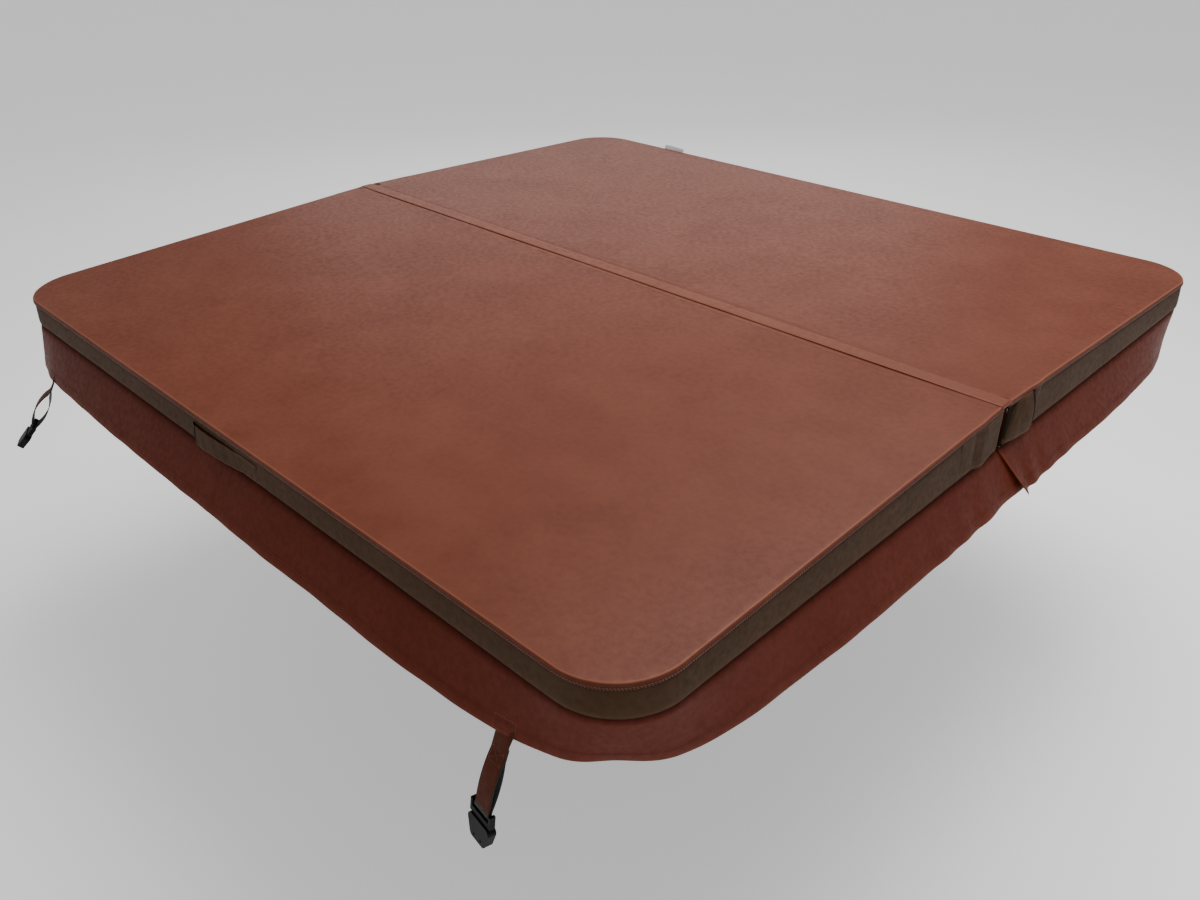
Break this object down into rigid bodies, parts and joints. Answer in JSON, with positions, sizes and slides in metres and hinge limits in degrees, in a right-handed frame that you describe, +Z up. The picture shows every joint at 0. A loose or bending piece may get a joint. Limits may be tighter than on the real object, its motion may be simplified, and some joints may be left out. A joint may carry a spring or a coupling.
{
  "type": "spa cover",
  "caption": "Square folding insulated spa cover with rounded corners, a flared skirt, a cloth fold hinge, carrying handles and lockable tie-down straps.",
  "frame": {"origin": "centre of the underside, in the plane that rests on the spa rim, under the middle of the fold", "axes": "+X along the fold to the right, +Y across the fold from the front half to the rear half, +Z up"},
  "size_m": [2.1443, 2.2862, 0.3925],
  "materials": {
    "top_vinyl": "grained chestnut marine vinyl, satin",
    "band_vinyl": "the same grained vinyl seen edge-on, grey-brown, satin",
    "skirt_vinyl": "dark chestnut marine vinyl, satin, with a turned hem",
    "strap_vinyl": "dark brown vinyl, satin",
    "liner_fabric": "woven grey liner, matt",
    "foam": "white expanded polystyrene, beaded",
    "poly_film": "thin grey polythene film, glossy",
    "galvanised_steel": "galvanised sheet",
    "webbing": "black woven polypropylene webbing",
    "zip_metal": "nickel-plated, satin",
    "brass_grommet": "plain brass, dull",
    "black_plastic": "moulded black nylon, satin",
    "label_film": "blank pale grey woven label"
  },
  "bodies": {
    "rear_half": {"rear_foam_core": "foam", "rear_vapour_wrap": "poly_film", "rear_stiffener": "galvanised_steel", "rear_top_panel": "top_vinyl", "rear_side_band": "band_vinyl", "rear_fold_face": "skirt_vinyl", "rear_bottom_liner": "liner_fabric", "rear_zipper_tape": "webbing", "rear_zipper_chain": "zip_metal", "rear_skirt": "skirt_vinyl", "rear_drain_grommets": "brass_grommet", "rear_grab_handle": "band_vinyl", "rear_fold_handle_left": "band_vinyl", "rear_fold_handle_right": "band_vinyl", "rear_left_anchor": "skirt_vinyl", "rear_right_anchor": "skirt_vinyl", "hinge_strip": "top_vinyl", "hinge_reinforcement": "webbing", "steam_seal": "liner_fabric", "care_label": "label_film"},
    "front_half": {"front_foam_core": "foam", "front_vapour_wrap": "poly_film", "front_stiffener": "galvanised_steel", "front_top_panel": "top_vinyl", "front_side_band": "band_vinyl", "front_fold_face": "skirt_vinyl", "front_bottom_liner": "liner_fabric", "front_zipper_tape": "webbing", "front_zipper_chain": "zip_metal", "front_skirt": "skirt_vinyl", "front_drain_grommets": "brass_grommet", "front_grab_handle": "band_vinyl", "front_fold_handle_left": "band_vinyl", "front_fold_handle_right": "band_vinyl", "front_left_anchor": "skirt_vinyl", "front_right_anchor": "skirt_vinyl"},
    "rear_zip_slider_body": {"rear_zip_slider": "zip_metal"},
    "rear_zip_pull_body": {"rear_zip_pull": "zip_metal"},
    "front_zip_slider_body": {"front_zip_slider": "zip_metal"},
    "front_zip_pull_body": {"front_zip_pull": "zip_metal"},
    "rear_right_strap_body": {"rear_right_strap": "webbing", "rear_right_facing": "strap_vinyl"},
    "rear_right_buckle_body": {"rear_right_buckle": "black_plastic"},
    "rear_right_socket_body": {"rear_right_socket": "black_plastic"},
    "rear_left_strap_body": {"rear_left_strap": "webbing", "rear_left_facing": "strap_vinyl"},
    "rear_left_buckle_body": {"rear_left_buckle": "black_plastic"},
    "rear_left_socket_body": {"rear_left_socket": "black_plastic"},
    "front_right_strap_body": {"front_right_strap": "webbing", "front_right_facing": "strap_vinyl"},
    "front_right_buckle_body": {"front_right_buckle": "black_plastic"},
    "front_right_socket_body": {"front_right_socket": "black_plastic"},
    "front_left_strap_body": {"front_left_strap": "webbing", "front_left_facing": "strap_vinyl"},
    "front_left_buckle_body": {"front_left_buckle": "black_plastic"},
    "front_left_socket_body": {"front_left_socket": "black_plastic"}
  },
  "joints": [
    {"name": "fold", "type": "hinge", "parent": "rear_half", "child": "front_half", "pos_m": [0, 0, 0.101], "axis": [-1, 0, 0], "range_deg": [0, 180]},
    {"name": "rear_zip_slide", "type": "slide", "parent": "rear_half", "child": "rear_zip_slider_body", "axis": [-1, 0, 0], "range_m": [0, 1.86]},
    {"name": "rear_zip_pull_swing", "type": "hinge", "parent": "rear_zip_slider_body", "child": "rear_zip_pull_body", "pos_m": [0.93, 0.027, -0.0064], "axis": [0, 1, 0], "range_deg": [-85, 85]},
    {"name": "front_zip_slide", "type": "slide", "parent": "front_half", "child": "front_zip_slider_body", "axis": [-1, 0, 0], "range_m": [0, 1.86]},
    {"name": "front_zip_pull_swing", "type": "hinge", "parent": "front_zip_slider_body", "child": "front_zip_pull_body", "pos_m": [0.93, -0.027, -0.0064], "axis": [0, 1, 0], "range_deg": [-85, 85]},
    {"name": "rear_right_strap_swing", "type": "hinge", "parent": "rear_half", "child": "rear_right_strap_body", "pos_m": [0.815, 1.04898, -0.10881], "axis": [0.9771, -0.2128, 0], "range_deg": [-60, 90]},
    {"name": "rear_right_buckle_swivel", "type": "hinge", "parent": "rear_right_strap_body", "child": "rear_right_buckle_body", "pos_m": [0.82439, 1.09209, -0.23003], "axis": [0.9771, -0.2128, 0], "range_deg": [-63, 87]},
    {"name": "rear_right_socket_release", "type": "slide", "parent": "rear_right_buckle_body", "child": "rear_right_socket_body", "axis": [0.0296, 0.136, -0.9903], "range_m": [0, 0.03]},
    {"name": "rear_left_strap_swing", "type": "hinge", "parent": "rear_half", "child": "rear_left_strap_body", "pos_m": [-0.815, 1.04898, -0.10881], "axis": [0.9771, 0.2128, 0], "range_deg": [-60, 90]},
    {"name": "rear_left_buckle_swivel", "type": "hinge", "parent": "rear_left_strap_body", "child": "rear_left_buckle_body", "pos_m": [-0.82439, 1.09209, -0.23003], "axis": [0.9771, 0.2128, 0], "range_deg": [-63, 87]},
    {"name": "rear_left_socket_release", "type": "slide", "parent": "rear_left_buckle_body", "child": "rear_left_socket_body", "axis": [-0.0296, 0.136, -0.9903], "range_m": [0, 0.03]},
    {"name": "front_right_strap_swing", "type": "hinge", "parent": "front_half", "child": "front_right_strap_body", "pos_m": [0.815, -1.04898, -0.10881], "axis": [-0.9903, 0.1392, 0], "range_deg": [-60, 90]},
    {"name": "front_right_buckle_swivel", "type": "hinge", "parent": "front_right_strap_body", "child": "front_right_buckle_body", "pos_m": [0.80886, -1.09268, -0.23003], "axis": [-0.9903, 0.1392, 0], "range_deg": [-63, 87]},
    {"name": "front_right_socket_release", "type": "slide", "parent": "front_right_buckle_body", "child": "front_right_socket_body", "axis": [-0.0194, -0.1378, -0.9903], "range_m": [0, 0.03]},
    {"name": "front_left_strap_swing", "type": "hinge", "parent": "front_half", "child": "front_left_strap_body", "pos_m": [-0.815, -1.06183, -0.10468], "axis": [-0.8829, 0.4695, 0], "range_deg": [-74, 76]},
    {"name": "front_left_buckle_swivel", "type": "hinge", "parent": "front_left_strap_body", "child": "front_left_buckle_body", "pos_m": [-0.84887, -1.12552, -0.21162], "axis": [-0.8829, 0.4695, 0], "range_deg": [-85, 65]},
    {"name": "front_left_socket_release", "type": "slide", "parent": "front_left_buckle_body", "child": "front_left_socket_body", "axis": [-0.3261, -0.6133, -0.7193], "range_m": [0, 0.03]}
  ]
}
